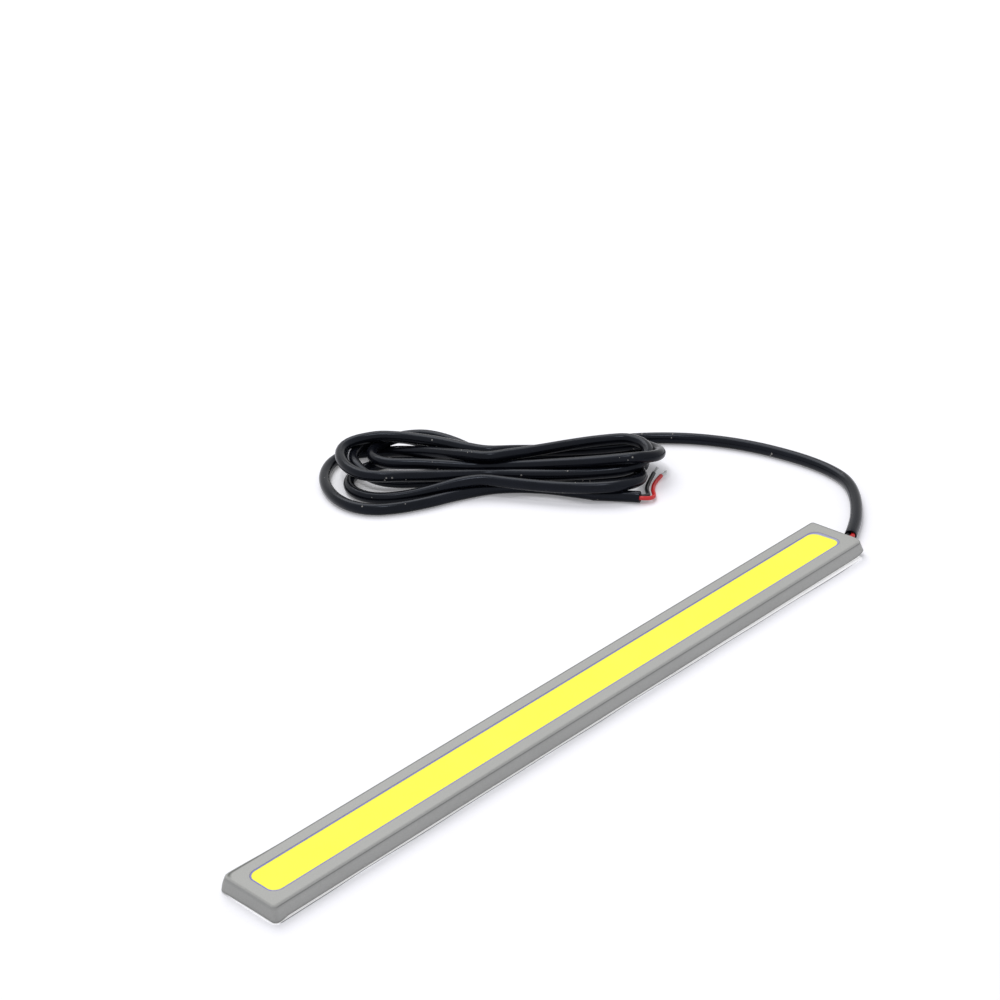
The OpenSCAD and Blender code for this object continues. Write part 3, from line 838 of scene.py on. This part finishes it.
windowShape = {
    "damGap": 0.01,
    "damLip": 0.3,
    "exitLip": 0.8,
    "exitSkew": 0.25,
    "damFlange": 1.5,
    "damTop": 3.7,
    "boardTop": 2.95,
    "sheetUnder": 3.35,
    "lipRise": 0.06,
    # shares of the lip's width and rise
    "lipProfile": [(0, 0), (0.1, 0.6), (0.3, 1), (0.6, 0.8), (0.88, 0.1), (1, -0.7)],
    "exitReach": 2,  # the lip is marked over this length at the cable end
    "meniscus": 0.06,
    "meniscusReach": 0.5,
    "fillSteps": np.array([0, 0.02, 0.05, 0.1, 0.16, 0.25, 0.4, 0.6, 0.8, 1.0]),
}


def fillOutline(shape):
    # the window less the dam's lip, which is wider at the cable end, most of all on the far side
    plain, cableEnd = shellShape["plainRim"] + shape["damLip"], shellShape["cableRim"] + shape["exitLip"]
    radius = shellShape["windowRadius"] - shape["damLip"]
    width = shellShape["width"] - 2 * (shellShape["sideRim"] + shape["damLip"])
    outline = roundedOutline(shellShape["length"] - plain - cableEnd, width, radius)
    atExit = np.clip((outline[:, 0] - outline[:, 0].max()) / radius + 1, 0, 1)
    outline[:, 0] -= shape["exitSkew"] * atExit * outline[:, 1] / (width / 2)
    return outline + [(plain - cableEnd) / 2, 0]


def makeDam(shape):
    # closed profile round the window: flange under the sheet, wall in the window, soft round lip
    window, fill = windowOutline(-shape["damGap"]), fillOutline(shape)
    flange = windowOutline(shape["damFlange"])
    edges = [(flange, shape["boardTop"]), (flange, shape["sheetUnder"]), (window, shape["sheetUnder"])]
    for share, height in shape["lipProfile"]:
        edges.append((window + (fill - window) * share, shape["damTop"] + shape["lipRise"] * height))
    edges.append((fill, shape["boardTop"]))
    atExit = np.clip((fill[:, 0] - fill[:, 0].max()) / shape["exitReach"] + 1, 0, 1)
    dam = ringPiece("chipDam", [atLevel(*edge) for edge in edges], "damSilicone",
                    marks=np.tile(atExit, len(edges)))
    standFor(dam, "dam_silicone", "chip_dam")


def makePhosphor(shape):
    # the fill's outline shrinks to a line along its middle; its surface climbs a little at the dam
    edge = fillOutline(shape)
    middle = edge[:, 0].mean()
    halfWidth = edge[:, 1].max()
    off = edge[:, 0] - middle
    top = [atLevel(edge, shape["boardTop"])]
    for inset in halfWidth * shape["fillSteps"]:
        along = middle + np.sign(off) * np.maximum(0, np.abs(off) - inset)
        flat = np.column_stack([along, edge[:, 1] * (1 - inset / halfWidth)])
        climb = shape["meniscus"] * math.exp(-3 * inset / shape["meniscusReach"])
        top.append(atLevel(flat, shape["damTop"] - shape["meniscus"] + climb))
    under = [top[0], atLevel(top[-1][:, :2], shape["boardTop"])]
    faces = [gridFaces(len(top), len(edge), roundColumns=True),
             gridFaces(2, len(edge), roundColumns=True) + len(top) * len(edge)]
    phosphor = addPiece("phosphorFill", np.vstack(top + under) * mm, np.vstack(faces),
                        materials["phosphorSilicone"])
    standFor(phosphor, "phosphor_silicone", "phosphor_fill")


makeDam(windowShape)
makePhosphor(windowShape)
print("window filled")

# Backing: foam tape and its release liner

backingShape = {
    "linerThick": 0.12,
    "linerProud": 0.1,
    "linerSkew": 0.7,  # how much further it stands out on the near side at the cable end
    "linerShort": 1.5,
    "linerRound": 1.4,
    "linerColumns": 161,
    "linerRows": np.array([-1, -0.985, -0.95, -0.9, -0.6, 0, 0.6, 0.9, 0.95, 0.985, 1]),
    "freeFrom": 0.3,  # distance inside the shell's edge from which the liner lifts
    "freeReach": 0.7,
    "lift": 0.2,
    "liftStart": 20,  # length over which the lift sets in from the plain end
    "liftWave": 0.6,
    "liftTurns": (0.21, 0.047, 1.3),  # its two waves' radians per millimetre, and the slow one's start
    "edgeFade": 9,  # over this length its painted dark edge, a painted contact shadow, fades at the cable end
    "tapeTop": 0.62,
    "tapeInset": 0.55,
    "tapeCorner": 0.85,
    "tapeLeast": 0.05,
    "tapeBulge": 0.08,
    "tapeProfile": [(0.2, 0.7), (0.5, 1), (0.8, 0.7)],  # shares of its thickness and of the bulge
    "tapeRims": (0.3, 0.02),
}


def makeTape(shape):
    # closed profile round the tape, bulged outwards between its two faces
    length, width = shellShape["length"], shellShape["width"]
    under, over = shape["linerThick"], shape["tapeTop"]
    flatRim, edgeRim = shape["tapeRims"]
    profile = [(flatRim, under), (edgeRim, under)]
    for up, out in shape["tapeProfile"]:
        profile.append((-shape["tapeBulge"] * out, under + (over - under) * up))
    profile += [(edgeRim, over), (flatRim, over), (width / 2 - 1, over)]
    rings = []
    for inset, level in profile:
        out = shape["tapeInset"] + inset
        corner = max(shape["tapeLeast"], shape["tapeCorner"] - inset)
        rings.append(atLevel(roundedOutline(length - 2 * out, width - 2 * out, corner), level))
    rings.append(atLevel(rings[-1][:, :2], under))
    standFor(ringPiece("foamTape", rings, "tapeFoam"), "tape_foam", "foam_tape")


def makeLiner(shape):
    # A grid with round corners for each face and walls between them. The edge outside the tape is
    # lifted by a product of two slow sine waves, and the near side leans out towards the cable end.
    proud, short, corner = shape["linerProud"], shape["linerShort"], shape["linerRound"]
    width = shellShape["width"]
    half = (shellShape["length"] - short + proud) / 2
    x = half * np.linspace(-1, 1, shape["linerColumns"])
    y = shape["linerRows"] * (width / 2 + proud)
    gridX, gridY = np.meshgrid(x, y, indexing="ij")
    cornerIn = np.clip(np.abs(gridY) - y[-1] + corner, 0, corner)
    cut = corner - np.sqrt(corner ** 2 - cornerIn ** 2)
    gridX = gridX * (half - cut) / half - (short + proud) / 2
    free = np.clip((np.abs(gridY) - width / 2 + shape["freeFrom"]) / shape["freeReach"], 0, 1)
    gridY = gridY + shape["linerSkew"] * np.minimum(0, gridY) / y[-1] * blendSmooth(gridX / half)
    quick, slow, ahead = shape["liftTurns"]
    wave = np.sin(gridX * quick + np.sign(gridY)) * np.sin(gridX * slow + ahead)
    lift = shape["lift"] * free * (1 + shape["liftWave"] * wave)
    lift = lift * np.clip((gridX + half) / shape["liftStart"], 0, 1)
    low = np.column_stack([gridX.ravel(), gridY.ravel(), lift.ravel()])
    high = low + [0, 0, shape["linerThick"]]
    size, count = gridX.shape, gridX.size
    lowFaces = gridFaces(*size)
    index = np.arange(count).reshape(size)
    rim = np.concatenate([index[0, :-1], index[:-1, -1], index[-1, :0:-1], index[:0:-1, 0]])
    walls = np.column_stack([rim, np.roll(rim, -1), np.roll(rim, -1) + count, rim + count])
    faces = np.vstack([lowFaces, lowFaces + count, walls])
    # painted shade: the long edges are painted dark as a contact shadow under the liner's edge, fading at
    # the cable end
    paintedEdgeShade = np.zeros(size)
    paintedEdgeShade[:, 0] = paintedEdgeShade[:, -1] = blendSmooth(0.2 + (half - x) / shape["edgeFade"])
    liner = addPiece("releaseLiner", np.vstack([low, high]) * mm, faces, materials["linerFilm"],
                     flat=True, marks=np.tile(paintedEdgeShade.ravel(), 2))
    standFor(liner, "liner_film", "release_liner")


makeTape(backingShape)
makeLiner(backingShape)
print("backing laid")

# Exit seal: a bead round the two leads in the shell's end wall

sealShape = {
    "half": 1.25, "radius": 0.72, "proud": 0.5, "depth": 1.2, "setBack": 0.12, "sides": 40, "rows": 8}


def makeSeal(shape):
    # A flat slot outline, closed inside the shell. Outside, its size falls with the root of the
    # cosine while it stands out with the sine.
    y, level = cableLay["start"][1], leadShape["level"]
    wall = leadShape["shellEnd"] - shape["setBack"]
    angle = np.linspace(0, 2 * math.pi, shape["sides"], endpoint=False)
    around = shape["radius"] * np.column_stack([np.cos(angle), np.sin(angle)])
    around[:, 0] += np.sign(np.cos(angle)) * (shape["half"] - shape["radius"])
    bend = np.radians(np.linspace(0, 90, shape["rows"]))
    sizes = [0, 1, *np.sqrt(np.cos(bend[:-1])), nearlyShut]
    places = [-shape["depth"], -shape["depth"], *shape["proud"] * np.sin(bend)]
    rings = []
    for size, out in zip(sizes, places):
        x = np.full(shape["sides"], wall + out)
        rings.append(np.column_stack([x, y + around[:, 0] * size, level + around[:, 1] * size]))
    standFor(ringPiece("exitSeal", rings, "sealBlack", roundRows=False), "seal_black", "exit_seal")


makeSeal(sealShape)
print("seal moulded")

# What stays as the frame's own mesh gets its finish

nodeFinishes = {
    "led_board": "boardLaminate", "led_chips": "chipCeramic", "group_resistors": "resistorBlack",
    "rear_potting": "pottingBlack", "solder_joint_positive": "solderBead",
    "solder_joint_negative": "solderBead", "strands_positive_lamp_end": "copperStrands",
    "strands_negative_lamp_end": "copperStrands",
}
for node, finish in nodeFinishes.items():
    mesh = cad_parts[node].data
    mesh.materials.clear()
    mesh.materials.append(materials[finish])

# Studio: white floor and surroundings, soft light from above

studio = {
    "floorSize": 6.0,
    "floorColour": (0.93, 0.93, 0.95, 1),
    "floorGlow": 0.17,
    "worldLight": 0.55,
    "worldTint": (0.93, 0.93, 1.0, 1),
    "lights": {  # power in watts, size, place and aim in metres
        "softKey": (8.0, 0.9, (0.35, 0.75, 1.1), (0.02, 0.05, 0)),
        "softTop": (1.6, 0.16, (-0.17, 0.05, 1.1), (0.06, 0.08, 0)),
    },
}


def backgroundRays(tree):
    # 1 for rays straight from the camera, reflected or through glass
    path = addNode(tree, "ShaderNodeLightPath").outputs
    bent = calculate(tree, "MAXIMUM", path["Is Glossy Ray"], path["Is Transmission Ray"])
    return calculate(tree, "MAXIMUM", path["Is Camera Ray"], bent)


def makeFloor(look):
    # a plain white surface that glows a little for the rays of the background
    half = look["floorSize"] / 2
    corners = [(-half, -half, 0), (half, -half, 0), (half, half, 0), (-half, half, 0)]
    material = bpy.data.materials.new("studioFloor")
    material.use_nodes = True
    tree = material.node_tree
    tree.nodes.clear()
    diffuse = addNode(tree, "ShaderNodeBsdfDiffuse", {"Color": look["floorColour"]}).outputs[0]
    glow = addNode(tree, "ShaderNodeEmission", {"Color": (1, 1, 1, 1), "Strength": look["floorGlow"]})
    both = addNode(tree, "ShaderNodeAddShader", {0: diffuse, 1: glow.outputs[0]}).outputs[0]
    pick = addNode(tree, "ShaderNodeMixShader", {0: backgroundRays(tree), 1: diffuse, 2: both})
    addNode(tree, "ShaderNodeOutputMaterial", {"Surface": pick.outputs[0]})
    mesh = bpy.data.meshes.new("studioFloor")
    mesh.from_pydata(corners, [], [(0, 1, 2, 3)])
    mesh.materials.append(material)
    floor = bpy.data.objects.new("studioFloor", mesh)
    bpy.context.scene.collection.objects.link(floor)


def makeWorld(look):
    # white at full strength for the rays of the background, dimmer and tinted as light
    world = bpy.data.worlds.new("studioWorld")
    bpy.context.scene.world = world
    world.use_nodes = True
    sky = world.node_tree
    background = sky.nodes["Background"]
    seen = backgroundRays(sky)
    level = addNode(sky, "ShaderNodeMapRange", {
        "Value": seen, "To Min": look["worldLight"], "To Max": 1.0})
    sky.links.new(mix(sky, "RGBA", seen, look["worldTint"], (1, 1, 1, 1)), background.inputs["Color"])
    sky.links.new(level.outputs["Result"], background.inputs["Strength"])


def makeLights(look):
    for name, (power, size, place, aim) in look["lights"].items():
        lamp = bpy.data.lights.new(name, "AREA")
        lamp.energy = power
        lamp.size = size
        light = bpy.data.objects.new(name, lamp)
        turn = (Vector(aim) - Vector(place)).to_track_quat("-Z", "Y").to_matrix().to_4x4()
        light.matrix_world = Matrix.Translation(place) @ turn
        bpy.context.scene.collection.objects.link(light)


makeFloor(studio)
makeWorld(studio)
makeLights(studio)
bpy.context.scene.view_settings.view_transform = "Standard"
print("studio lit")
